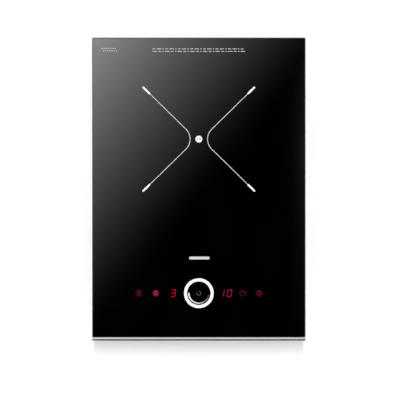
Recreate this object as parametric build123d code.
from build123d import *
import math
import os

# A built-in electric induction cooktop with one cooking zone.
# A black glass-ceramic sheet lies on the worktop. A shallow steel pan hangs under it
# through the cut-out, and four swivel clamps grip the worktop from below. Inside are a
# coil unit that four springs press up against the glass, a flat axial fan, a power board
# with its heatsink, and a touch control board under the front of the glass.
#
# Frame, in millimetres: the origin lies on the plane that the pan's floor stands on,
# under the middle of the whole cooktop. +X is to the user's right, +Y is away from the
# user and +Z is up.

# ---------------------------------------------------------------- glass and its edge
WIDTH = 290.0               # over the glass, side to side
DEPTH = 412.0               # from the front lip to the glass's rear edge
DROP = 52.0                 # how far the pan hangs below the worktop's surface
GLASS_THICKNESS = 4.0
GLASS_CORNER_R = 2.0
GLASS_EDGE_BEVEL = 1.2
SEAL_THICKNESS = 2.0        # foam tape between the glass and the worktop
SEAL_WIDTH = 6.0
SEAL_INSET = 1.5            # from the glass's edge to the tape
TRIM_DEPTH = 2.7            # aluminium strip along the glass's front edge
TRIM_TUCK = 3.0             # its foot's reach under the glass
TRIM_FOOT = 1.0             # its foot's thickness
TRIM_PROUD = 0.1            # it guards the glass's edge by standing this much higher
LIP_DEPTH = 2.0             # rubber lip in front of the strip
LIP_HEIGHT = 3.0
EDGE_ROUND = 0.4            # broken edge on the strip
LIP_ROUND = 1.2

# ---------------------------------------------------------------- pan and its frame
OVERHANG = 14.0             # glass beyond the pan, on every side
PAN_WALL = 1.0
PAN_RIM_DROP = 2.0          # the rim stays this far below the worktop's surface
SHOULDER_WIDTH = 20.0       # room beside the tub for the clamps
SHOULDER_HEIGHT = 16.0
BEND_R = 2.0                # outside bend of the pan's folds
SIDE_FOOT = 5.0             # how far a side sheet reaches in along the floor
WALL_EDGE_R = 0.8           # outside edge at the end walls' feet
FRAME_SHEET = 1.0
FRAME_FIT = 0.2             # between the frame's skirt and the pan's wall
FLANGE_WIDTH = 10.0
SKIRT_HEIGHT = 13.0
BEAD_THICKNESS = 1.0        # silicone between the frame and the glass
BEAD_MARGIN = 1.0
BEAD_CORNER_R = 5.0
SCREW_FIT = 0.15            # radial play of a screw in its clearance hole

FRAME_SCREW_R = 2.0
FRAME_SCREW_HEAD_R = 3.6
FRAME_SCREW_HEAD = 2.2
FRAME_SCREW_LENGTH = 6.0
FRAME_SOCKET_R = 1.6
FRAME_SOCKET_DEPTH = 1.1
FRAME_SCREW_FROM_END = 40.0
FRAME_SCREW_FROM_SIDE = 60.0

SLOT_WIDTH = 3.2
SLOT_PITCH = 6.4
OUTLET_SLOT_LENGTH = 14.0
OUTLET_SLOT_Z = 27.0
SIDE_SLOTS = 7              # in each side wall
BEAD_RIB_WIDTH = 6.0        # stiffening ribs pressed up into the floor
BEAD_RIB_HEIGHT = 0.8
RIB_FROM_FRONT = 78.0
RIB_PITCH = 22.0
RIB_MARGIN = 30.0

# ---------------------------------------------------------------- worktop clamps
CLAMP_FROM_END = 52.0       # pivot, from the pan's end wall
CLAMP_WIDTH = 16.0
CLAMP_SHEET = 2.0
CLAMP_REACH = 26.0          # pivot to tip
CLAMP_TOOTH = 2.0           # the tip turns up by this much
CLAMP_SPACER = 4.0          # from the shoulder down to the arm
CLAMP_PLAY = 0.1            # end play of an arm between its screw head and its spacer
PIVOT_R = 3.0               # smooth shank that an arm turns on
PIVOT_FIT = 0.06            # running clearance on that shank
CLAMP_THREAD_R = 2.45
CLAMP_HEAD_R = 5.5
CLAMP_HEAD = 3.0
CLAMP_HEAD_BEVEL = 0.5
CLAMP_SOCKET = (2.7, 1.8)   # hexagon's circumradius and depth
SPACER_R = 5.0
RIVET_NUT_R = 4.5
RIVET_NUT_HEIGHT = 7.0
RIVET_FLANGE_R = 6.0
RIVET_FLANGE = 1.0

# ---------------------------------------------------------------- coil unit
ZONE_FROM_REAR = 138.0      # zone's centre, from the glass's rear edge
GLASS_GAP = 0.1             # between the coil unit's top and the glass
INSULATION_THICKNESS = 2.0
WIRE_R = 1.6                # litz wire of the winding
WINDING_INNER_R = 26.0
WINDING_TURNS = 21
FORMER_WALL = 2.0
FORMER_FLOOR = 2.5
FORMER_GAP = 0.4            # between the winding and the former's rim
FERRITE_COUNT = 8
FERRITE_LENGTH = 52.0
FERRITE_WIDTH = 13.0
FERRITE_THICKNESS = 5.5
PLATE_THICKNESS = 1.5
PLATE_MARGIN = 1.5          # plate beyond the former
PLATE_HOLE_R = 15.0
EAR_WIDTH = 18.0
EAR_OFFSET = 50.0           # ear's middle, in front of and behind the zone's centre
SENSOR_R = 3.0
SENSOR_HEIGHT = 5.0
SENSOR_EDGE_R = 0.6
CAP_R = 7.0
CAP_FLANGE_R = 10.0
CAP_FLANGE = 2.0
CAP_FIT = 0.3
POST_R = 6.0
POST_PIN_R = 2.5
POST_PIN_FIT = 0.5
POST_PIN_BEVEL = 1.0
POST_PIN_ABOVE_PLATE = 4.0
SPRING_LENGTH = 10.5
SPRING_R = 4.3              # mean radius of the helix
SPRING_WIRE_R = 0.5
SPRING_TURNS = 4.5
LEAD_R = 1.5
LEAD_BEND_R = 8.0
LEAD_X = (30.0, 45.0)
LEAD_CLEARANCE = 10.0       # leads hang this far outside the plate
LEAD_BITE = 1.0             # soldered into the winding by this much
TERMINAL_POST_R = 4.0
TERMINAL_POST_HEIGHT = 10.0

# ---------------------------------------------------------------- cooling fan
FAN_SIZE = 80.0
FAN_THICKNESS = 15.0
FAN_GAP = 3.0               # to the tub's wall, the board and, through its feet, the floor
FAN_FROM_REAR = 12.0
FAN_CORNER_R = 4.0
FAN_HOLE_INSET = 4.25       # corner holes, from the fan's sides
FAN_WALL = 1.6              # at the thinnest, between the bore and a side
BLADE_CLEARANCE = 1.0
FAN_HUB_R = 15.0
FAN_HUB_WALL = 1.2
FAN_BASE = 2.0
STRUT_WIDTH = 4.0
BLADE_COUNT = 7
BLADE_CHORD = 15.0
BLADE_THICKNESS = 1.3
BLADE_CAMBER = 2.0
BLADE_PITCH_DEG = 38.0
ROTOR_CLEARANCE = 1.0       # above the base and below the fan's face
MAGNET_THICKNESS = 1.4
AIR_GAP = 0.5
STATOR_HEIGHT = 6.0
STATOR_POLES = 4
BEARING_R = 4.0
BEARING_TUBE_WALL = 1.2
BEARING_HEIGHT = 8.0
SHAFT_R = 1.5
SHAFT_FIT = 0.05
SHAFT_BEVEL = 0.45
FAN_SCREW_R = 1.9
FAN_HOLE_R = 2.15
FAN_SCREW_HEAD_R = 3.4
FAN_SCREW_HEAD = 1.8
STANDOFF_R = 3.5
THIN_WIRE_R = 0.8            # each of the fan lead's two wires
THIN_WIRE_PITCH = 2.4
THREAD_FIT = 0.05
GRILLE_MARGIN = 2.4         # slots stay this far inside the fan's bore
GRILLE_SPINE = 4.0

# ---------------------------------------------------------------- power board
BOARD_THICKNESS = 1.6
BOARD_LENGTH = 205.0
BOARD_TO_CONTROLS = 4.0     # least clearance behind the controls
BOARD_STANDOFF = 5.0
BOARD_FROM_REAR = 48.0
BOARD_HOLE_INSET = 6.0
BOARD_SCREW_R = 1.5
BOARD_SCREW_HEAD_R = 2.9
BOARD_SCREW_HEAD = 1.7
PART_MARGIN = 4.0           # components from the board's edge
COLUMN_WIDTH = 28.0         # components along the board's right edge
HEATSINK_WIDTH = 36.0
HEATSINK_LENGTH = 104.0
HEATSINK_HEIGHT = 17.0
HEATSINK_WALL = 5.0
FIN_THICKNESS = 1.5
FIN_COUNT = 5
HEATSINK_FROM_LEADS = 14.0
DEVICE_WIDTH = 16.0         # power semiconductor's case
DEVICE_THICKNESS = 4.6
DEVICE_HEIGHT = 15.5
DEVICE_LIFT = 1.2
DEVICE_LEG = 0.9
DEVICE_SCREW_R = 1.5
DEVICE_SCREW_HEAD_R = 2.7
DEVICE_SCREW_HEAD = 1.8
DEVICE_SOCKET = (1.2, 0.8)      # radius and depth
DEVICE_TAB = 10.54              # from a case's foot up to its screw
BRIDGE_WIDTH = 28.0
CASE_EDGE = 0.8

# Components down the board's right-hand column, measured from its rear edge.
TERMINAL_FROM_REAR = 10.0
TERMINAL_LENGTH = 22.0
TERMINAL_HEIGHT = 16.0
TERMINAL_STEP = (8.0, 10.0)     # the lower rear part: its length and its height
TERMINAL_ENTRY_R = 2.6
TERMINAL_ENTRY_Z = 5.5
TERMINAL_SCREW_R = 3.0
TERMINAL_SCREW_DEPTH = 8.0
TERMINAL_SCREW_SLOT = (1.0, 1.2)    # width and depth
FUSE_FROM_REAR = 36.5
FUSE_HALF_LENGTH = 10.0
FUSE_R = 2.4
FUSE_CAP = (5.5, 2.9)           # length and radius
FUSE_Z = 5.0
FUSE_CLIP = (3.0, 4.0)          # along the fuse and across it
CHOKE_FROM_REAR = 68.0
CHOKE_R = (6.5, 11.5)           # the core's hole and outside
CHOKE_HEIGHT = 7.0
CHOKE_LIFT = 3.0
CHOKE_WIRE = 1.2
CHOKE_TURNS = 5                 # turns shown on each of its two banks
CHOKE_TURN_DEG = 27.0
FILM_CAPACITORS = (             # from the rear edge, length, height
    (41.0, 12.0, 17.0),
    (84.0, 20.0, 17.5),
    (108.0, 14.0, 17.0),
    (125.0, 14.0, 17.0),
)
TRANSFORMER_FROM_REAR = 146.0
TRANSFORMER_SIZE = (20.0, 18.0, 15.0)
BOBBIN_LIP = 2.0

# ---------------------------------------------------------------- mains entry
GLAND_BORE_R = 5.2
GLAND_THREAD_R = 7.9
GLAND_HOLE_FIT = 0.2
GLAND_HEX = 10.0            # hexagon's circumradius
GLAND_HEX_THICKNESS = 5.0
GLAND_DOME = 7.0
GLAND_DOME_EDGE = 2.2
GLAND_INSIDE = 12.0         # thread inside the pan
GLAND_NUT = 4.0
GLAND_Z = 28.0
EARTH_STUD_R = 2.0
EARTH_NUT_R = 4.0
EARTH_NUT = 3.2
EARTH_FLANGE = 1.0
EARTH_BEND_R = 8.0
EARTH_STUD_HEIGHT = 10.0
EARTH_WIRE_R = 1.2
EARTH_LUG = 1.0             # ring terminal's thickness
EARTH_BARREL = (5.0, 4.0, 3.0)  # the part of the terminal that grips the wire
EARTH_FROM_REAR = 27.0
PLATE_SIZE = (70.0, 26.0)   # blank rating plate
PLATE_SHEET = 0.4
PLATE_CORNER_R = 2.0

# ---------------------------------------------------------------- touch controls
CONTROL_FROM_FRONT = 60.0   # touch ring's centre, from the glass's front edge
RING_OUTER_R = 20.4
RING_BAND = 4.4
RING_SEGMENTS = 8
RING_SEGMENT_GAP_DEG = 4.0
KEY_PAD_R = 6.0
CONTROL_GAP = 0.3           # between the displays and the glass
DISPLAY_HEIGHT = 6.0
DIGIT_CASE = (12.6, 19.0)   # one-digit display
DIGIT_CASE_EDGE = 0.5
POWER_DIGIT_X = -34.8
TIMER_DIGITS_X = 38.6
TIMER_CASE_WIDTH = 17.0
ICON_X = (-81.2, -58.5, 59.7, 82.1)
LIGHT_BOX = 9.0
LIGHT_BOX_WALL = 0.9
LED_SIZE = 3.0
LED_HEIGHT = 1.4
CONTROL_BOARD_SIZE = (192.0, 52.0)
CARRIER_RIM = 7.0
CARRIER_HEIGHT = 3.1
CARRIER_LEG_R = 4.0
CARRIER_INSET = 5.0
CARRIER_CORNER_R = 3.0
CHIP_SIZE = 10.0
CHIP_HEIGHT = 1.4
RIBBON_WIDTH = 12.0
RIBBON_THICKNESS = 0.8
RIBBON_BEND_R = 10.0
PLUG_DEPTH = 6.0
PLUG_HEIGHT = 6.5
PLUG_EDGE = 0.5
PLUG_MARGIN = 1.5            # plug beyond the ribbon, on each side
PLUG_FROM_FRONT = 2.0
RIBBON_X = 60.0

# ---------------------------------------------------------------- shared by small parts
DOME_SHARE = 0.45           # of a pan head's height that its edge round takes
CROSS_WIDTH = 0.8           # arms of a cross recess
SAME_PLACE = 0.01           # two points closer than this are one

# ---------------------------------------------------------------- places that follow
half_width = WIDTH / 2
front = -DEPTH / 2
rear = DEPTH / 2
trim_front = front + LIP_DEPTH
glass_front = trim_front + TRIM_DEPTH

worktop_z = DROP
glass_bottom = worktop_z + SEAL_THICKNESS
glass_top = glass_bottom + GLASS_THICKNESS
trim_top = glass_top + TRIM_PROUD

pan_x = half_width - OVERHANG
pan_y = rear - OVERHANG
pan_top = worktop_z - PAN_RIM_DROP
tub_x = pan_x - SHOULDER_WIDTH
tub_in = tub_x - PAN_WALL
foot_x = tub_x - SIDE_FOOT
floor_z = PAN_WALL
ledge_z = SHOULDER_HEIGHT + PAN_WALL
ledge_x = pan_x - SHOULDER_WIDTH / 2

flange_top = glass_bottom - BEAD_THICKNESS
skirt_x = pan_x - PAN_WALL - FRAME_FIT
skirt_y = pan_y - PAN_WALL - FRAME_FIT
skirt_bottom = flange_top - SKIRT_HEIGHT
frame_screw_z = (skirt_bottom + pan_top) / 2

clamp_y = pan_y - CLAMP_FROM_END
arm_top = SHOULDER_HEIGHT - CLAMP_SPACER
arm_bottom = arm_top - CLAMP_SHEET
clamp_head_top = arm_bottom - CLAMP_PLAY
clamp_head_bottom = clamp_head_top - CLAMP_HEAD

zone_y = rear - ZONE_FROM_REAR
unit_top = glass_bottom - GLASS_GAP
former_top = unit_top - INSULATION_THICKNESS
winding_outer_r = WINDING_INNER_R + 2 * WIRE_R * WINDING_TURNS
former_r = winding_outer_r + FORMER_GAP + FORMER_WALL
winding_bottom = former_top - 2 * WIRE_R - FORMER_GAP
former_bottom = winding_bottom - FORMER_FLOOR
plate_top = former_bottom - FERRITE_THICKNESS
plate_bottom = plate_top - PLATE_THICKNESS
plate_r = former_r + PLATE_MARGIN
hub_r = WINDING_INNER_R - FORMER_GAP
post_top = plate_bottom - SPRING_LENGTH
lead_z = winding_bottom + WIRE_R
lead_y = zone_y - plate_r - LEAD_CLEARANCE

fan_bore_r = FAN_SIZE / 2 - FAN_WALL
blade_tip_r = fan_bore_r - BLADE_CLEARANCE
grille_r = fan_bore_r - GRILLE_MARGIN
fan_x = -tub_in + FAN_GAP + FAN_SIZE / 2
fan_y = pan_y - PAN_WALL - FAN_FROM_REAR - FAN_SIZE / 2
fan_bottom = floor_z + FAN_GAP
fan_top = fan_bottom + FAN_THICKNESS
rotor_bottom = fan_bottom + FAN_BASE + ROTOR_CLEARANCE
rotor_top = fan_top - ROTOR_CLEARANCE
magnet_outer_r = FAN_HUB_R - FAN_HUB_WALL
magnet_inner_r = magnet_outer_r - MAGNET_THICKNESS
stator_r = magnet_inner_r - AIR_GAP
bearing_tube_r = BEARING_R + BEARING_TUBE_WALL

board_left = -tub_in + 2 * FAN_GAP + FAN_SIZE
board_right = tub_in - FAN_GAP
board_rear = pan_y - PAN_WALL - BOARD_FROM_REAR
board_bottom = floor_z + BOARD_STANDOFF
board_top = board_bottom + BOARD_THICKNESS
column_right = board_right - PART_MARGIN
column_x = column_right - COLUMN_WIDTH / 2
terminal_rear = board_rear - TERMINAL_FROM_REAR
terminal_top = board_top + TERMINAL_HEIGHT
terminal_screw_y = terminal_rear - TERMINAL_LENGTH + 2 * TERMINAL_SCREW_R
sink_left = board_left + PART_MARGIN
sink_right = sink_left + HEATSINK_WIDTH
sink_front = lead_y + HEATSINK_FROM_LEADS
sink_top = board_top + HEATSINK_HEIGHT
device_z = board_top + DEVICE_LIFT

control_y = glass_front + CONTROL_FROM_FRONT
control_top = glass_bottom - CONTROL_GAP
control_board_top = control_top - DISPLAY_HEIGHT
control_board_bottom = control_board_top - BOARD_THICKNESS
carrier_bottom = control_board_bottom - CARRIER_HEIGHT
carrier_bore_z = carrier_bottom - CARRIER_HEIGHT
control_rear = control_y + CONTROL_BOARD_SIZE[1] / 2
# On a shallow hob the power board is cut back to stay clear of the controls.
board_front = max(board_rear - BOARD_LENGTH, control_rear + BOARD_TO_CONTROLS)


# ---------------------------------------------------------------- small helpers
def block(x0, x1, y0, y1, z0, z1):
    """A box between two corners."""
    size = (x1 - x0, y1 - y0, z1 - z0)
    return Pos((x0 + x1) / 2, (y0 + y1) / 2, (z0 + z1) / 2) * Box(*size)


def slab(half_x, y0, y1, z0, z1, corner_r):
    """A flat plate, symmetric about X = 0, with rounded upright corners."""
    outline = Pos(0, (y0 + y1) / 2) * RectangleRounded(2 * half_x, y1 - y0, corner_r)
    return Pos(0, 0, z0) * extrude(outline, z1 - z0)


def ring_slab(half_x, y0, y1, z0, z1, corner_r, width):
    """A rectangular ring of the given band width."""
    inner_r = max(corner_r - width, 1.0)
    outer = slab(half_x, y0, y1, z0, z1, corner_r)
    return outer - slab(half_x - width, y0 + width, y1 - width, z0, z1, inner_r)


def disc(x, y, z0, z1, r):
    """An upright cylinder between two heights."""
    return Pos(x, y, (z0 + z1) / 2) * Cylinder(r, z1 - z0)


def tube(x, y, z0, z1, outer_r, inner_r):
    """An upright tube."""
    return disc(x, y, z0, z1, outer_r) - disc(x, y, z0, z1, inner_r)


def rod_x(x0, x1, y, z, r):
    """A cylinder along X."""
    return Pos((x0 + x1) / 2, y, z) * Rot(0, 90, 0) * Cylinder(r, abs(x1 - x0))


def rod_y(x, y0, y1, z, r):
    """A cylinder along Y."""
    return Pos(x, (y0 + y1) / 2, z) * Rot(90, 0, 0) * Cylinder(r, abs(y1 - y0))


def hexagon(x, y, z0, z1, r):
    """An upright hexagonal prism of circumradius r."""
    return Pos(x, y, z0) * extrude(RegularPolygon(r, 6), z1 - z0)


def moulded_box(x0, x1, y0, y1, z0, z1, edge=CASE_EDGE):
    """A component's case: a box with its upright and top edges rounded."""
    case = block(x0, x1, y0, y1, z0, z1)
    upright = case.edges().filter_by(Axis.Z)
    top = case.edges().group_by(Axis.Z)[-1]
    return fillet(upright + top, edge)


def pan_screw(x, y, z0, z1, shank_r, head_r, head):
    """An upright screw: shank from z0 up to z1, and a domed head with a cross recess."""
    top = disc(x, y, z1, z1 + head, head_r)
    top = fillet(top.edges().group_by(Axis.Z)[-1], head * DOME_SHARE)
    recess = block(-head_r / 2, head_r / 2, -CROSS_WIDTH / 2, CROSS_WIDTH / 2, 0, head)
    cross = Pos(x, y, z1 + head / 2) * (recess + Rot(0, 0, 90) * recess)
    return disc(x, y, z0, z1, shank_r) + top - cross


def wire(points, bend_r, r):
    """A round wire along straight runs that are joined by arcs."""
    path = FilletPolyline(*points, radius=bend_r)
    return sweep(Plane(origin=path @ 0, z_dir=path % 0) * Circle(r), path=path)


def four_corners(x0, x1, y0, y1):
    """The corners of a rectangle."""
    return [(x, y) for x in (x0, x1) for y in (y0, y1)]


# ---------------------------------------------------------------- glass, edge and seal
def glass_panel():
    glass = slab(half_width, glass_front, rear, glass_bottom, glass_top, GLASS_CORNER_R)
    return chamfer(glass.edges().group_by(Axis.Z)[-1], GLASS_EDGE_BEVEL)


def trim_foot():
    return block(
        -half_width, half_width, glass_front, glass_front + TRIM_TUCK,
        glass_bottom - TRIM_FOOT, glass_bottom,
    )


def front_trim():
    face = block(
        -half_width, half_width, trim_front, glass_front, glass_bottom - TRIM_FOOT, trim_top
    )
    top = face.edges().filter_by(Axis.X).group_by(Axis.Z)[-1]
    return fillet(top.sort_by(Axis.Y)[0], EDGE_ROUND) + trim_foot()


def front_seal_lip():
    lip = block(-half_width, half_width, front, trim_front, worktop_z, worktop_z + LIP_HEIGHT)
    top = lip.edges().filter_by(Axis.X).group_by(Axis.Z)[-1]
    return fillet(top.sort_by(Axis.Y)[0], LIP_ROUND)


def worktop_seal():
    tape = ring_slab(
        half_width - SEAL_INSET, glass_front + SEAL_INSET, rear - SEAL_INSET,
        worktop_z, glass_bottom, GLASS_CORNER_R, SEAL_WIDTH,
    )
    return tape - trim_foot()


def silicone_bead():
    return ring_slab(
        skirt_x - BEAD_MARGIN, -skirt_y + BEAD_MARGIN, skirt_y - BEAD_MARGIN,
        flange_top, glass_bottom, BEAD_CORNER_R,
        FLANGE_WIDTH - 2 * BEAD_MARGIN,
    )


# ---------------------------------------------------------------- pan and frame
def frame_screw_places():
    """Each screw's place on the pan's outer wall, with the way it points in."""
    side_ys = (FRAME_SCREW_FROM_END - pan_y, 0.0, pan_y - FRAME_SCREW_FROM_END)
    end_xs = (FRAME_SCREW_FROM_SIDE - pan_x, pan_x - FRAME_SCREW_FROM_SIDE)
    sides = [(s * pan_x, y, "x", -s) for s in (-1, 1) for y in side_ys]
    ends = [(x, s * pan_y, "y", -s) for s in (-1, 1) for x in end_xs]
    return sides + ends


def along_screw(place, start, end, r):
    """A cylinder on a frame screw's axis, measured inwards from the pan's outer wall."""
    x, y, axis, inward = place
    if axis == "x":
        return rod_x(x + inward * start, x + inward * end, y, frame_screw_z, r)
    return rod_y(x, y + inward * start, y + inward * end, frame_screw_z, r)


def frame_bar(half_length, face_y):
    """An angle bar along X: its skirt hangs at face_y and its flange points to -Y."""
    skirt = block(
        -half_length, half_length, face_y - FRAME_SHEET, face_y, skirt_bottom, flange_top
    )
    flange = block(
        -half_length, half_length, face_y - FLANGE_WIDTH, face_y,
        flange_top - FRAME_SHEET, flange_top,
    )
    return skirt + flange


def support_frame():
    """Two long side bars, and two end bars that butt against the sides' flanges."""
    end_bar = frame_bar(skirt_x - FLANGE_WIDTH, skirt_y)
    side_bar = frame_bar(skirt_y, skirt_x)
    bars = [end_bar, Rot(0, 0, 180) * end_bar]
    bars += [Rot(0, 0, 90) * side_bar, Rot(0, 0, -90) * side_bar]
    holes = [
        along_screw(place, 0, FRAME_SCREW_LENGTH, FRAME_SCREW_R + THREAD_FIT)
        for place in frame_screw_places()
    ]
    return [bar - holes for bar in bars]


def frame_screws():
    def one(place):
        shank = along_screw(place, 0, FRAME_SCREW_LENGTH, FRAME_SCREW_R)
        head = along_screw(place, -FRAME_SCREW_HEAD, 0, FRAME_SCREW_HEAD_R)
        socket = along_screw(
            place, -FRAME_SCREW_HEAD, FRAME_SOCKET_DEPTH - FRAME_SCREW_HEAD, FRAME_SOCKET_R
        )
        return shank + head - socket

    return [one(place) for place in frame_screw_places()]


def inlet_slots():
    """Two banks of slots under the fan, inside a circle and each side of a spine."""
    rows = int(grille_r / SLOT_PITCH)
    slots = []
    for row in range(-rows, rows + 1):
        y = row * SLOT_PITCH
        chord = math.sqrt(grille_r**2 - y**2)
        length = chord - GRILLE_SPINE / 2
        if length < 2 * SLOT_WIDTH:
            continue
        middle = (chord + GRILLE_SPINE / 2) / 2
        slot = extrude(SlotOverall(length, SLOT_WIDTH), 2 * PAN_WALL, both=True)
        slots += [Pos(fan_x + side * middle, fan_y + y, 0) * slot for side in (-1, 1)]
    return slots


def upright_slot():
    """A cutter for one upright slot through a wall that faces along Y."""
    outline = SlotOverall(OUTLET_SLOT_LENGTH, SLOT_WIDTH, rotation=90)
    return Rot(90, 0, 0) * extrude(outline, 2 * PAN_WALL, both=True)


def front_slots():
    """The row of outlet slots through the front wall."""
    count = int((pan_x - RIB_MARGIN) / SLOT_PITCH)
    return [
        Pos(step * SLOT_PITCH, -pan_y, OUTLET_SLOT_Z) * upright_slot()
        for step in range(-count, count + 1)
    ]


def side_slots():
    """A shorter row of outlet slots through each side wall."""
    turned = Rot(0, 0, 90) * upright_slot()
    first_y = control_rear + RIB_MARGIN
    return [
        Pos(side * pan_x, first_y + step * SLOT_PITCH, OUTLET_SLOT_Z) * turned
        for side in (-1, 1)
        for step in range(SIDE_SLOTS)
    ]


def floor_ribs(z0, z1, width):
    """Two long ribs across the floor in front of the power board."""
    length = 2 * (tub_x - RIB_MARGIN)
    outline = SlotOverall(length, width)
    return [
        Pos(0, RIB_FROM_FRONT - pan_y + step * RIB_PITCH, z0) * extrude(outline, z1 - z0)
        for step in range(2)
    ]


def screw_clearances():
    return [
        along_screw(place, 0, PAN_WALL, FRAME_SCREW_R + SCREW_FIT)
        for place in frame_screw_places()
    ]


def base_pan():
    """The floor sheet, with its pressed ribs and the fan's grille."""
    inner_y = pan_y - PAN_WALL
    floor = block(-foot_x, foot_x, -inner_y, inner_y, 0, floor_z)
    floor = floor + floor_ribs(floor_z, floor_z + BEAD_RIB_HEIGHT, BEAD_RIB_WIDTH)
    floor = floor - floor_ribs(0, BEAD_RIB_HEIGHT, BEAD_RIB_WIDTH - 2 * PAN_WALL)
    return floor - inlet_slots()


def end_wall():
    """The rear wall's sheet, which widens above the shoulder."""
    inner_y = pan_y - PAN_WALL
    lower = block(-tub_in, tub_in, inner_y, pan_y, 0, SHOULDER_HEIGHT)
    upper = block(-pan_x, pan_x, inner_y, pan_y, SHOULDER_HEIGHT, pan_top)
    wall = lower + upper
    foot = wall.edges().filter_by(Axis.X).group_by(Axis.Z)[0].sort_by(Axis.Y)[-1]
    return fillet(foot, WALL_EDGE_R)


def fold_edges(sheet, x, z):
    """The sheet's edges along Y that lie at one corner of its profile."""
    found = []
    for edge in sheet.edges().filter_by(Axis.Y):
        middle = edge.center()
        if math.isclose(middle.X, x, abs_tol=SAME_PLACE) and math.isclose(
            middle.Z, z, abs_tol=SAME_PLACE
        ):
            found.append(edge)
    return found


def side_wall():
    """The right side's stepped sheet: foot, tub wall, clamp shoulder and upper wall."""
    half_length = pan_y - PAN_WALL
    profile = Polyline(
        (foot_x, 0), (tub_x, 0), (tub_x, SHOULDER_HEIGHT), (pan_x, SHOULDER_HEIGHT),
        (pan_x, pan_top), (pan_x - PAN_WALL, pan_top), (pan_x - PAN_WALL, ledge_z),
        (tub_in, ledge_z), (tub_in, floor_z), (foot_x, floor_z), close=True,
    )
    section = Plane.XZ * make_face(profile)
    wall = Pos(0, half_length, 0) * extrude(section, 2 * half_length)
    wall = fillet(fold_edges(wall, tub_x, 0), BEND_R)
    return fillet(fold_edges(wall, tub_in, floor_z), BEND_R - PAN_WALL)


def pan_walls():
    """Four sheets that are welded to the floor and to each other."""
    right = side_wall()
    rear = end_wall()
    gland_hole = rod_y(
        column_x, pan_y - PAN_WALL, pan_y, GLAND_Z, GLAND_THREAD_R + GLAND_HOLE_FIT
    )
    walls = [right, Rot(0, 0, 180) * right, rear - gland_hole, Rot(0, 0, 180) * rear]
    rivet_holes = [
        disc(x, y, SHOULDER_HEIGHT, ledge_z, RIVET_NUT_R) for x, y in clamp_pivots()
    ]
    holes = front_slots() + side_slots() + screw_clearances() + rivet_holes
    return [wall - holes for wall in walls]


def rating_plate():
    width, height = PLATE_SIZE
    middle_z = (SHOULDER_HEIGHT + pan_top) / 2
    outline = RectangleRounded(width, height, PLATE_CORNER_R)
    plate = Rot(90, 0, 0) * extrude(outline, PLATE_SHEET)
    return Pos(0, pan_y + PLATE_SHEET, middle_z) * plate


# ---------------------------------------------------------------- worktop clamps
def clamp_pivots():
    return four_corners(-ledge_x, ledge_x, -clamp_y, clamp_y)


def clamp_arm(x, y):
    """One arm, parked along Y with its tip towards the middle, tooth turned up."""
    end_r = CLAMP_WIDTH / 2
    strap = Pos(0, CLAMP_REACH / 2) * Rectangle(CLAMP_WIDTH, CLAMP_REACH)
    arm = Pos(0, 0, arm_bottom) * extrude(Circle(end_r) + strap, CLAMP_SHEET)
    tooth = block(
        -end_r, end_r, CLAMP_REACH - CLAMP_SHEET, CLAMP_REACH, arm_top, arm_top + CLAMP_TOOTH
    )
    arm = arm + tooth - disc(0, 0, arm_bottom, arm_top, PIVOT_R + PIVOT_FIT)
    turn = 0 if y < 0 else 180
    return Pos(x, y, 0) * Rot(0, 0, turn) * arm


def clamp_screws():
    def one(x, y):
        head = disc(x, y, clamp_head_bottom, clamp_head_top, CLAMP_HEAD_R)
        head = chamfer(head.edges().group_by(Axis.Z)[0], CLAMP_HEAD_BEVEL)
        socket_r, socket_depth = CLAMP_SOCKET
        socket = hexagon(
            x, y, clamp_head_bottom, clamp_head_bottom + socket_depth, socket_r
        )
        shank = disc(x, y, clamp_head_top, arm_top + CLAMP_PLAY, PIVOT_R)
        thread = disc(
            x, y, arm_top + CLAMP_PLAY, ledge_z + RIVET_NUT_HEIGHT, CLAMP_THREAD_R
        )
        return head - socket + shank + thread

    return [one(x, y) for x, y in clamp_pivots()]


def spacer_sleeves():
    return [
        tube(x, y, arm_top + CLAMP_PLAY, SHOULDER_HEIGHT, SPACER_R, CLAMP_THREAD_R + SCREW_FIT)
        for x, y in clamp_pivots()
    ]


def rivet_nuts():
    def one(x, y):
        barrel = disc(x, y, SHOULDER_HEIGHT, ledge_z + RIVET_NUT_HEIGHT, RIVET_NUT_R)
        flange = disc(x, y, ledge_z, ledge_z + RIVET_FLANGE, RIVET_FLANGE_R)
        bore = disc(
            x, y, SHOULDER_HEIGHT, ledge_z + RIVET_NUT_HEIGHT, CLAMP_THREAD_R + THREAD_FIT
        )
        return barrel + flange - bore

    return [one(x, y) for x, y in clamp_pivots()]


def clamp_fixings():
    """At each pivot a rivet nut in the shoulder, and a spacer sleeve under it."""
    return rivet_nuts() + spacer_sleeves()


# ---------------------------------------------------------------- coil unit
def insulation_sheet():
    sheet = disc(0, zone_y, former_top, unit_top, former_r)
    return sheet - disc(0, zone_y, former_top, unit_top, CAP_R + CAP_FIT)


def coil_winding():
    """Round turns side by side on a flat core, as one wound disc."""
    middle_z = winding_bottom + WIRE_R
    core_width = 2 * WIRE_R * (WINDING_TURNS - 1)
    core_x = WINDING_INNER_R + WIRE_R + core_width / 2
    section = Pos(core_x, middle_z) * Rectangle(core_width, WIRE_R)
    for turn in range(WINDING_TURNS):
        section += Pos(WINDING_INNER_R + WIRE_R * (2 * turn + 1), middle_z) * Circle(WIRE_R)
    disc_of_turns = revolve(Plane.XZ * section, Axis.Z)
    return Pos(0, zone_y, 0) * disc_of_turns


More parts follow.
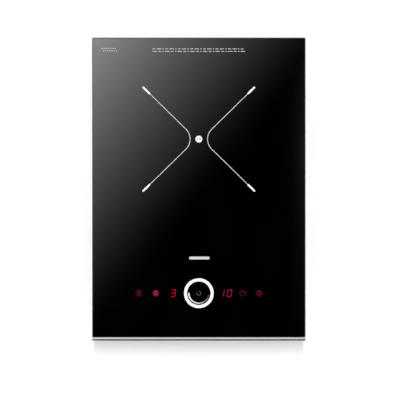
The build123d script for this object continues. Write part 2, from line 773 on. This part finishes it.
def coil_former():
    floor = tube(0, zone_y, former_bottom, winding_bottom, former_r, CAP_R + CAP_FIT)
    rim = tube(0, zone_y, winding_bottom, former_top, former_r, former_r - FORMER_WALL)
    skirt = tube(0, zone_y, plate_top, former_bottom, former_r, former_r - FORMER_WALL)
    hub = tube(0, zone_y, winding_bottom, former_top, hub_r, hub_r - FORMER_WALL)
    notches = [
        block(
            x - LEAD_R - SCREW_FIT, x + LEAD_R + SCREW_FIT, zone_y - former_r, zone_y,
            lead_z - LEAD_R - SCREW_FIT, former_top,
        )
        - disc(0, zone_y, plate_top, unit_top, former_r - FORMER_WALL - FORMER_GAP)
        for x in LEAD_X
    ]
    return floor + rim + skirt + hub - notches


def ferrite_bars():
    outer = former_r - FORMER_WALL - FORMER_GAP
    middle = outer - FERRITE_LENGTH / 2 - 2
    bar = block(
        middle - FERRITE_LENGTH / 2, middle + FERRITE_LENGTH / 2,
        -FERRITE_WIDTH / 2, FERRITE_WIDTH / 2, plate_top, former_bottom,
    )
    step = 360 / FERRITE_COUNT
    return [
        Pos(0, zone_y, 0) * Rot(0, 0, step * (number + 0.5)) * bar
        for number in range(FERRITE_COUNT)
    ]


def spring_places():
    return four_corners(-ledge_x, ledge_x, zone_y - EAR_OFFSET, zone_y + EAR_OFFSET)


def coil_plate():
    plate = disc(0, zone_y, plate_bottom, plate_top, plate_r)
    ear_tip = ledge_x + POST_R
    for y in (zone_y - EAR_OFFSET, zone_y + EAR_OFFSET):
        half = EAR_WIDTH / 2
        plate += slab(ear_tip, y - half, y + half, plate_bottom, plate_top, half - 1)
    plate -= disc(0, zone_y, plate_bottom, plate_top, PLATE_HOLE_R)
    holes = [
        disc(x, y, plate_bottom, plate_top, POST_PIN_R + POST_PIN_FIT)
        for x, y in spring_places()
    ]
    return plate - holes


def temperature_sensor():
    can = disc(0, zone_y, unit_top - SENSOR_HEIGHT, unit_top, SENSOR_R)
    return fillet(can.edges().group_by(Axis.Z)[-1], SENSOR_EDGE_R)


def sensor_cap():
    cap = disc(0, zone_y, former_bottom, unit_top, CAP_R)
    flange = disc(0, zone_y, winding_bottom, winding_bottom + CAP_FLANGE, CAP_FLANGE_R)
    return cap + flange - disc(0, zone_y, unit_top - SENSOR_HEIGHT, unit_top, SENSOR_R)


def coil_posts():
    def one(x, y):
        body = disc(x, y, ledge_z, post_top, POST_R)
        pin = disc(x, y, post_top, plate_top + POST_PIN_ABOVE_PLATE, POST_PIN_R)
        pin = chamfer(pin.edges().group_by(Axis.Z)[-1], POST_PIN_BEVEL)
        return body + pin

    return [one(x, y) for x, y in spring_places()]


def coil_springs():
    height = SPRING_LENGTH - 2 * SPRING_WIRE_R - 2 * THREAD_FIT
    coil = Helix(pitch=height / SPRING_TURNS, height=height, radius=SPRING_R)
    section = Plane(origin=coil @ 0, z_dir=coil % 0) * Circle(SPRING_WIRE_R)
    spring = sweep(section, path=coil, is_frenet=True)
    z = post_top + SPRING_WIRE_R + THREAD_FIT
    return [Pos(x, y, z) * spring for x, y in spring_places()]


def coil_leads():
    def one(x):
        edge_y = zone_y - math.sqrt(winding_outer_r**2 - x**2) + LEAD_BITE
        points = [
            (x, edge_y, lead_z),
            (x, lead_y, lead_z),
            (x, lead_y, board_top + TERMINAL_POST_HEIGHT),
        ]
        return wire(points, LEAD_BEND_R, LEAD_R)

    return [one(x) for x in LEAD_X]


def coil_terminals():
    """Brass posts on the power board that the coil's leads are soldered to."""
    def one(x):
        foot = disc(x, lead_y, board_top, board_top + 2, TERMINAL_POST_R + 1)
        post = disc(x, lead_y, board_top, board_top + TERMINAL_POST_HEIGHT, TERMINAL_POST_R)
        return foot + post

    return [one(x) for x in LEAD_X]


# ---------------------------------------------------------------- cooling fan
def fan_corners():
    half = FAN_SIZE / 2 - FAN_HOLE_INSET
    return four_corners(fan_x - half, fan_x + half, fan_y - half, fan_y + half)


def fan_frame():
    outline = Pos(fan_x, fan_y) * RectangleRounded(FAN_SIZE, FAN_SIZE, FAN_CORNER_R)
    body = Pos(0, 0, fan_bottom) * extrude(outline, FAN_THICKNESS)
    body -= disc(fan_x, fan_y, fan_bottom, fan_top, fan_bore_r)
    base_top = fan_bottom + FAN_BASE
    hub = disc(fan_x, fan_y, fan_bottom, base_top, FAN_HUB_R)
    strut = block(
        -fan_bore_r - 1, fan_bore_r + 1, -STRUT_WIDTH / 2, STRUT_WIDTH / 2,
        fan_bottom, base_top,
    )
    struts = [Pos(fan_x, fan_y, 0) * Rot(0, 0, turn) * strut for turn in (45, 135)]
    holder = disc(fan_x, fan_y, base_top, base_top + BEARING_HEIGHT, bearing_tube_r)
    bore = disc(fan_x, fan_y, base_top, base_top + BEARING_HEIGHT, BEARING_R)
    holes = [disc(x, y, fan_bottom, fan_top, FAN_HOLE_R) for x, y in fan_corners()]
    return body + hub + struts + holder - bore - holes


def blade():
    """One cambered blade along +X, before it is trimmed to the fan's bore."""
    chord_line = Line((-BLADE_CHORD / 2, 0), (BLADE_CHORD / 2, 0))
    ends = (chord_line @ 0, chord_line @ 1)
    lower = ThreePointArc(ends[0], (0, BLADE_CAMBER), ends[1])
    upper = ThreePointArc(ends[0], (0, BLADE_CAMBER + BLADE_THICKNESS), ends[1])
    section = make_face([lower, upper])
    length = fan_bore_r - FAN_HUB_R / 2
    panel = extrude(Plane.YZ * section, length)
    return Pos(FAN_HUB_R / 2, 0, 0) * Rot(BLADE_PITCH_DEG, 0, 0) * panel


def fan_rotor():
    middle_z = (rotor_bottom + rotor_top) / 2
    cup = disc(0, 0, rotor_bottom, rotor_top, FAN_HUB_R)
    cup -= disc(0, 0, rotor_bottom, rotor_top - FAN_HUB_WALL, magnet_outer_r)
    cup -= disc(0, 0, rotor_bottom, rotor_top, SHAFT_R)
    room = tube(0, 0, rotor_bottom, rotor_top, blade_tip_r, magnet_outer_r + FAN_HUB_WALL / 2)
    step = 360 / BLADE_COUNT
    blades = [
        (Rot(0, 0, number * step) * Pos(0, 0, middle_z) * blade()) & room
        for number in range(BLADE_COUNT)
    ]
    return Pos(fan_x, fan_y, 0) * (cup + blades)


def fan_magnet():
    return tube(
        fan_x, fan_y, rotor_bottom, rotor_top - FAN_HUB_WALL, magnet_outer_r, magnet_inner_r
    )


def fan_shaft():
    shaft = disc(fan_x, fan_y, fan_bottom + FAN_BASE + SHAFT_FIT, rotor_top, SHAFT_R)
    return chamfer(shaft.edges().group_by(Axis.Z)[0], SHAFT_BEVEL)


def fan_bearing():
    base_top = fan_bottom + FAN_BASE
    return tube(
        fan_x, fan_y, base_top, base_top + BEARING_HEIGHT, BEARING_R, SHAFT_R + SHAFT_FIT
    )


def fan_stator():
    bottom = rotor_bottom
    top = bottom + STATOR_HEIGHT
    core = tube(fan_x, fan_y, bottom, top, stator_r, bearing_tube_r)
    slot = block(0, stator_r, -STRUT_WIDTH / 4, STRUT_WIDTH / 4, bottom, top)
    slot -= disc(0, 0, bottom, top, (stator_r + bearing_tube_r) / 2)
    slots = [
        Pos(fan_x, fan_y, 0) * Rot(0, 0, 360 / STATOR_POLES * number) * slot
        for number in range(STATOR_POLES)
    ]
    return core - slots


def fan_screws():
    return [
        pan_screw(x, y, floor_z, fan_top, FAN_SCREW_R, FAN_SCREW_HEAD_R, FAN_SCREW_HEAD)
        for x, y in fan_corners()
    ]


def fan_plug_place():
    """Front left corner of the fan's plug on the board, beside the fan's right wall."""
    return board_left + 1, fan_y - FAN_SIZE / 4 - PLUG_DEPTH / 2


def fan_lead():
    """Two thin wires from the fan's side wall to its plug."""
    plug_x, plug_y = fan_plug_place()
    z = board_top + PLUG_HEIGHT / 2
    start = fan_x + FAN_SIZE / 2
    middle_y = plug_y + PLUG_DEPTH / 2
    ys = (middle_y - THIN_WIRE_PITCH / 2, middle_y + THIN_WIRE_PITCH / 2)
    return [rod_x(start, plug_x, y, z, THIN_WIRE_R) for y in ys]


# ---------------------------------------------------------------- power board
def board_corners():
    inset = BOARD_HOLE_INSET
    return four_corners(
        board_left + inset, board_right - inset, board_front + inset, board_rear - inset
    )


def power_board():
    board = block(board_left, board_right, board_front, board_rear, board_bottom, board_top)
    holes = [
        disc(x, y, board_bottom, board_top, BOARD_SCREW_R + SCREW_FIT)
        for x, y in board_corners()
    ]
    return board - holes


def floor_standoffs():
    """Threaded sleeves pressed into the pan's floor, under the fan and the board."""
    under_fan = [
        tube(x, y, floor_z, fan_bottom, STANDOFF_R, FAN_SCREW_R + THREAD_FIT)
        for x, y in fan_corners()
    ]
    under_board = [
        tube(x, y, floor_z, board_bottom, STANDOFF_R, BOARD_SCREW_R + THREAD_FIT)
        for x, y in board_corners()
    ]
    return under_fan + under_board


def board_screws():
    """Equal screws: four hold the power board and four the control board."""
    feet = [(x, y, floor_z, board_top) for x, y in board_corners()]
    legs = [(x, y, carrier_bore_z, control_board_top) for x, y in control_corners()]
    return [
        pan_screw(x, y, z0, z1, BOARD_SCREW_R, BOARD_SCREW_HEAD_R, BOARD_SCREW_HEAD)
        for x, y, z0, z1 in feet + legs
    ]


def column_box(from_rear, length, height, width=COLUMN_WIDTH):
    """A component's case in the right-hand column, measured from the board's rear edge."""
    y1 = board_rear - from_rear
    return moulded_box(
        column_x - width / 2, column_x + width / 2, y1 - length, y1,
        board_top, board_top + height,
    )


def device_rows():
    """Power semiconductors along the heatsink: each one's middle and width."""
    first = sink_front + PART_MARGIN + DEVICE_WIDTH / 2
    second = first + DEVICE_WIDTH + 2 * PART_MARGIN
    third = second + DEVICE_WIDTH / 2 + 3 * PART_MARGIN + BRIDGE_WIDTH / 2
    return [(first, DEVICE_WIDTH), (second, DEVICE_WIDTH), (third, BRIDGE_WIDTH)]


def device_screw_z():
    return device_z + DEVICE_TAB


def heatsink():
    """A comb: one thick upright wall with level fins towards the fan's side."""
    sink_rear = sink_front + HEATSINK_LENGTH
    wall = block(
        sink_right - HEATSINK_WALL, sink_right, sink_front, sink_rear, board_top, sink_top
    )
    pitch = (HEATSINK_HEIGHT - FIN_THICKNESS) / (FIN_COUNT - 1)
    fins = [
        block(
            sink_left, sink_right - HEATSINK_WALL, sink_front, sink_rear,
            board_top + number * pitch, board_top + number * pitch + FIN_THICKNESS,
        )
        for number in range(FIN_COUNT)
    ]
    hole_r = DEVICE_SCREW_R + THREAD_FIT
    holes = [
        rod_x(sink_right - HEATSINK_WALL, sink_right, y, device_screw_z(), hole_r)
        for y, _ in device_rows()
    ]
    return wall + fins - holes


def power_device(y, width, legs):
    """A flat semiconductor standing against the heatsink, with legs in the board."""
    x1 = sink_right + DEVICE_THICKNESS
    half_width_y = width / 2
    case = block(
        sink_right, x1, y - half_width_y, y + half_width_y, device_z, device_z + DEVICE_HEIGHT
    )
    case = fillet(case.edges().filter_by(Axis.X), CASE_EDGE)
    case -= rod_x(sink_right, x1, y, device_screw_z(), DEVICE_SCREW_R + SCREW_FIT)
    leg_x = sink_right + DEVICE_THICKNESS / 2
    pitch = width / (legs + 1)
    half = DEVICE_LEG / 2
    for number in range(legs):
        leg_y = y - width / 2 + pitch * (number + 1)
        case += block(
            leg_x - half, leg_x + half, leg_y - half, leg_y + half, board_top, device_z
        )
    return case


def power_semiconductors():
    """Two switching transistors, then the wider bridge rectifier."""
    return [
        power_device(y, width, 4 if width == BRIDGE_WIDTH else 3) for y, width in device_rows()
    ]


def device_screws():
    def one(y):
        z = device_screw_z()
        face = sink_right + DEVICE_THICKNESS
        shank = rod_x(sink_right - HEATSINK_WALL, face, y, z, DEVICE_SCREW_R)
        head = rod_x(face, face + DEVICE_SCREW_HEAD, y, z, DEVICE_SCREW_HEAD_R)
        socket_r, socket_depth = DEVICE_SOCKET
        top = face + DEVICE_SCREW_HEAD
        recess = rod_x(top - socket_depth, top, y, z, socket_r)
        return shank + head - recess

    return [one(y) for y, _ in device_rows()]


def terminal_block():
    """Three-way screw terminal at the board's rear edge, stepped down behind."""
    step_length, step_height = TERMINAL_STEP
    half = COLUMN_WIDTH / 2
    body = column_box(TERMINAL_FROM_REAR, TERMINAL_LENGTH, TERMINAL_HEIGHT)
    body -= block(
        column_x - half, column_x + half, terminal_rear - step_length, terminal_rear,
        board_top + step_height, board_top + TERMINAL_HEIGHT,
    )
    for x in terminal_ways():
        body -= rod_y(
            x, terminal_rear - step_length, terminal_rear,
            board_top + TERMINAL_ENTRY_Z, TERMINAL_ENTRY_R,
        )
        body -= disc(
            x, terminal_screw_y, terminal_top - TERMINAL_SCREW_DEPTH, terminal_top,
            TERMINAL_SCREW_R,
        )
    return body


def terminal_ways():
    pitch = COLUMN_WIDTH / 3
    return [column_x + pitch * step for step in (-1, 0, 1)]


def terminal_screws():
    top = terminal_top - 2 * CASE_EDGE
    width, depth = TERMINAL_SCREW_SLOT
    slot = block(
        -TERMINAL_SCREW_R, TERMINAL_SCREW_R, -width / 2, width / 2, top - depth, top
    )

    def one(x):
        body = disc(
            x, terminal_screw_y, terminal_top - TERMINAL_SCREW_DEPTH, top,
            TERMINAL_SCREW_R - SCREW_FIT,
        )
        return body - Pos(x, terminal_screw_y, 0) * slot

    return [one(x) for x in terminal_ways()]


def fuse():
    """A glass-tube fuse in two clips."""
    y = board_rear - FUSE_FROM_REAR
    z = board_top + FUSE_Z
    cap_length, cap_r = FUSE_CAP
    clip_length, clip_width = FUSE_CLIP
    half = FUSE_HALF_LENGTH
    body = rod_x(column_x - half, column_x + half, y, z, FUSE_R)
    for side in (-1, 1):
        end = column_x + side * half
        body += rod_x(end, end - side * cap_length, y, z, cap_r)
        clip_x = end - side * cap_length / 2
        body += block(
            clip_x - clip_length / 2, clip_x + clip_length / 2,
            y - clip_width / 2, y + clip_width / 2, board_top, z,
        )
    return body


def film_capacitors():
    """Box capacitors: mains filter, bus, and two in resonance with the coil."""
    return [
        column_box(from_rear, length, height)
        for from_rear, length, height in FILM_CAPACITORS
    ]


def filter_choke():
    """Common-mode choke: a toroid core lying flat on a foot, with two banks of turns."""
    y = board_rear - CHOKE_FROM_REAR
    hole_r, core_r = CHOKE_R
    z0 = board_top + CHOKE_LIFT
    z1 = z0 + CHOKE_HEIGHT
    core = tube(column_x, y, z0, z1, core_r, hole_r)
    core += disc(column_x, y, board_top, z0 - CHOKE_WIRE, core_r - CHOKE_WIRE)
    core += disc(column_x, y, z0 - CHOKE_WIRE, z1 + CHOKE_WIRE, hole_r)
    turn = block(
        hole_r - CHOKE_WIRE, core_r + CHOKE_WIRE, -CHOKE_WIRE, CHOKE_WIRE,
        z0 - CHOKE_WIRE, z1 + CHOKE_WIRE,
    )
    middle = (CHOKE_TURNS - 1) / 2
    for bank in (0, 180):
        for number in range(CHOKE_TURNS):
            angle = bank + (number - middle) * CHOKE_TURN_DEG
            core += Pos(column_x, y, 0) * Rot(0, 0, angle) * turn
    return core


def switching_transformer():
    """Small supply transformer: a core round a longer bobbin."""
    width, length, height = TRANSFORMER_SIZE
    y1 = board_rear - TRANSFORMER_FROM_REAR
    core = moulded_box(
        column_x - width / 2, column_x + width / 2, y1 - length, y1,
        board_top + BOBBIN_LIP, board_top + height,
    )
    bobbin = block(
        column_x - width / 2 - BOBBIN_LIP, column_x + width / 2 + BOBBIN_LIP,
        y1 - length + 2 * BOBBIN_LIP, y1 - 2 * BOBBIN_LIP,
        board_top, board_top + height - BOBBIN_LIP,
    )
    return core + bobbin


def cable_plugs():
    """The fan lead's plug, and one at each end of the ribbon."""
    plug_x, plug_y = fan_plug_place()
    fan_plug = moulded_box(
        plug_x, plug_x + PLUG_DEPTH, plug_y, plug_y + PLUG_DEPTH,
        board_top, board_top + PLUG_HEIGHT, PLUG_EDGE,
    )
    half = RIBBON_WIDTH / 2 + PLUG_MARGIN
    plug_front = board_front + PLUG_FROM_FRONT
    ribbon_plug = moulded_box(
        RIBBON_X - half, RIBBON_X + half, plug_front, plug_front + PLUG_DEPTH,
        board_top, board_top + PLUG_HEIGHT, PLUG_EDGE,
    )
    y0 = ribbon_plug_y()
    upper_plug = block(
        RIBBON_X - half, RIBBON_X + half, y0, y0 + PLUG_DEPTH,
        control_board_bottom - PLUG_HEIGHT, control_board_bottom,
    )
    return [fan_plug, ribbon_plug, upper_plug]


# ---------------------------------------------------------------- mains entry
def cable_gland():
    inside = pan_y - PAN_WALL - GLAND_INSIDE
    hex_end = pan_y + GLAND_HEX_THICKNESS
    dome_end = hex_end + GLAND_DOME
    thread = rod_y(column_x, inside, pan_y, GLAND_Z, GLAND_THREAD_R)
    turned = Pos(column_x, hex_end, GLAND_Z) * Rot(90, 0, 0)
    nut = turned * extrude(RegularPolygon(GLAND_HEX, 6), GLAND_HEX_THICKNESS)
    dome = rod_y(column_x, hex_end, dome_end, GLAND_Z, GLAND_THREAD_R)
    dome = fillet(dome.edges().group_by(Axis.Y)[-1], GLAND_DOME_EDGE)
    bore = rod_y(column_x, inside, dome_end, GLAND_Z, GLAND_BORE_R)
    return thread + nut + dome - bore


def gland_nut():
    inner = pan_y - PAN_WALL
    turned = Pos(column_x, inner, GLAND_Z) * Rot(90, 0, 0)
    nut = turned * extrude(RegularPolygon(GLAND_HEX, 6), GLAND_NUT)
    return nut - rod_y(column_x, inner - GLAND_NUT, inner, GLAND_Z, GLAND_THREAD_R + THREAD_FIT)


def earth_place():
    return ledge_x, pan_y - EARTH_FROM_REAR


def earth_stud():
    """A stud pressed into the right-hand shoulder, and its nut."""
    x, y = earth_place()
    stud = disc(x, y, ledge_z, ledge_z + EARTH_STUD_HEIGHT, EARTH_STUD_R)
    stud += disc(x, y, ledge_z, ledge_z + EARTH_FLANGE, EARTH_NUT_R)
    z0 = ledge_z + EARTH_FLANGE + EARTH_LUG
    nut = hexagon(x, y, z0, z0 + EARTH_NUT, EARTH_NUT_R)
    nut -= disc(x, y, z0, z0 + EARTH_NUT, EARTH_STUD_R + THREAD_FIT)
    return [stud, nut]


def earth_wire():
    """From the terminal block's rear to a ring terminal round the stud."""
    x, y = earth_place()
    length, width, height = EARTH_BARREL
    lug_bottom = ledge_z + EARTH_FLANGE
    ring = tube(
        x, y, lug_bottom, lug_bottom + EARTH_LUG, EARTH_NUT_R + 1, EARTH_STUD_R + SCREW_FIT
    )
    barrel_end = x - EARTH_NUT_R - length
    barrel = block(
        barrel_end, x - EARTH_NUT_R - SCREW_FIT, y - width / 2, y + width / 2,
        lug_bottom, lug_bottom + height,
    )
    z = lug_bottom + height / 2
    start_x = terminal_ways()[1]
    start_y = terminal_rear - TERMINAL_STEP[0]
    points = [(start_x, start_y, z), (start_x, y, z), (barrel_end, y, z)]
    return ring + barrel + wire(points, EARTH_BEND_R, EARTH_WIRE_R)


# ---------------------------------------------------------------- touch controls
def control_corners():
    half_x = CONTROL_BOARD_SIZE[0] / 2 - CARRIER_INSET
    half_y = CONTROL_BOARD_SIZE[1] / 2 - CARRIER_INSET
    return four_corners(-half_x, half_x, control_y - half_y, control_y + half_y)


def control_board():
    half_x, half_y = CONTROL_BOARD_SIZE[0] / 2, CONTROL_BOARD_SIZE[1] / 2
    board = block(
        -half_x, half_x, control_y - half_y, control_y + half_y,
        control_board_bottom, control_board_top,
    )
    holes = [
        disc(x, y, control_board_bottom, control_board_top, BOARD_SCREW_R + SCREW_FIT)
        for x, y in control_corners()
    ]
    return board - holes


def control_carrier():
    """A moulded frame under the board on four legs that stand on the pan's floor."""
    half_x, half_y = CONTROL_BOARD_SIZE[0] / 2, CONTROL_BOARD_SIZE[1] / 2
    rim = ring_slab(
        half_x, control_y - half_y, control_y + half_y, carrier_bottom,
        control_board_bottom, CARRIER_CORNER_R, CARRIER_RIM,
    )
    legs = [
        disc(x, y, floor_z, control_board_bottom, CARRIER_LEG_R) for x, y in control_corners()
    ]
    bores = [
        disc(x, y, carrier_bore_z, control_board_bottom, BOARD_SCREW_R + THREAD_FIT)
        for x, y in control_corners()
    ]
    return rim + legs - bores


def digit_case(x, width):
    length = DIGIT_CASE[1]
    return moulded_box(
        x - width / 2, x + width / 2, control_y - length / 2, control_y + length / 2,
        control_board_top, control_top, DIGIT_CASE_EDGE,
    )


def digit_displays():
    """One digit for the power level and two for the timer."""
    power = digit_case(POWER_DIGIT_X, DIGIT_CASE[0])
    timer = digit_case(TIMER_DIGITS_X, TIMER_CASE_WIDTH)
    return [power, timer]


def touch_pads():
    """Foam electrodes under the glass: the ring's sectors, and the key inside it."""
    sector = 360 / RING_SEGMENTS
    band = tube(
        0, 0, control_board_top, control_top, RING_OUTER_R, RING_OUTER_R - RING_BAND
    )
    gap = math.radians(RING_SEGMENT_GAP_DEG) * RING_OUTER_R
    cut = block(0, RING_OUTER_R + 1, -gap / 2, gap / 2, control_board_top, control_top)
    for number in range(RING_SEGMENTS):
        band -= Rot(0, 0, number * sector) * cut
    key = disc(0, 0, control_board_top, control_top, KEY_PAD_R)
    return [Pos(0, control_y, 0) * band, Pos(0, control_y, 0) * key]


def light_boxes():
    """Black walls that keep each symbol's light to itself."""
    height = control_top - control_board_top
    outline = Rectangle(LIGHT_BOX, LIGHT_BOX)
    outline -= Rectangle(LIGHT_BOX - 2 * LIGHT_BOX_WALL, LIGHT_BOX - 2 * LIGHT_BOX_WALL)
    box = extrude(outline, height)
    return [Pos(x, control_y, control_board_top) * box for x in ICON_X]


def symbol_leds():
    half = LED_SIZE / 2
    return [
        block(
            x - half, x + half, control_y - half, control_y + half,
            control_board_top, control_board_top + LED_HEIGHT,
        )
        for x in ICON_X
    ]


def controller_chips():
    """One on the control board and one on the power board."""
    half = CHIP_SIZE / 2
    on_control = block(
        -half, half, control_y - half, control_y + half,
        control_board_bottom - CHIP_HEIGHT, control_board_bottom,
    )
    chip_x = sink_left + CHIP_SIZE
    chip_y = board_front + CHIP_SIZE
    on_power = block(
        chip_x, chip_x + CHIP_SIZE, chip_y, chip_y + CHIP_SIZE,
        board_top, board_top + CHIP_HEIGHT,
    )
    return [on_control, on_power]


def ribbon_plug_y():
    return control_rear - CARRIER_RIM - PLUG_DEPTH - 1


def ribbon_cable():
    """A flat cable, straight down from the control board and back to the power board."""
    y = ribbon_plug_y() + PLUG_DEPTH / 2
    z = board_top + PLUG_HEIGHT / 2
    path = FilletPolyline(
        (y, control_board_bottom - PLUG_HEIGHT), (y, z), (board_front + PLUG_FROM_FRONT, z),
        radius=RIBBON_BEND_R,
    )
    strip = trace(path, RIBBON_THICKNESS)
    half = RIBBON_WIDTH / 2
    return Pos(RIBBON_X - half, 0, 0) * extrude(Plane.YZ * strip, RIBBON_WIDTH)


# ---------------------------------------------------------------- write every node
def clamp_arm_nodes():
    return {
        f"clamp_arm_{end}_{side}": clamp_arm(x, y)
        for end, y in (("front", -clamp_y), ("rear", clamp_y))
        for side, x in (("left", -ledge_x), ("right", ledge_x))
    }


MAKERS = [
    glass_panel, front_trim, front_seal_lip, worktop_seal, silicone_bead,
    support_frame, frame_screws, base_pan, pan_walls, rating_plate,
    clamp_screws, clamp_fixings,
    insulation_sheet, coil_winding, coil_former, ferrite_bars, coil_plate,
    temperature_sensor, sensor_cap, coil_posts, coil_springs, coil_leads, coil_terminals,
    fan_frame, fan_rotor, fan_magnet, fan_shaft, fan_bearing, fan_stator,
    fan_screws, fan_lead,
    floor_standoffs, power_board, board_screws, heatsink, power_semiconductors,
    device_screws, terminal_block, terminal_screws, fuse, film_capacitors,
    filter_choke, switching_transformer, cable_plugs,
    cable_gland, gland_nut, earth_stud, earth_wire,
    control_board, control_carrier, digit_displays, touch_pads, light_boxes,
    symbol_leds, controller_chips, ribbon_cable,
]


def solids_of(shape):
    """Every separate solid of a piece or of a list of pieces."""
    pieces = shape if isinstance(shape, list) else [shape]
    return [solid for piece in pieces for solid in piece.solids()]


def write(name, shape):
    solids = solids_of(shape)
    whole = solids[0] if len(solids) == 1 else Compound(children=solids)
    export_step(whole, f"parts/{name}.step")


os.makedirs("parts", exist_ok=True)
for maker in MAKERS:
    write(maker.__name__, maker())
for name, shape in clamp_arm_nodes().items():
    write(name, shape)
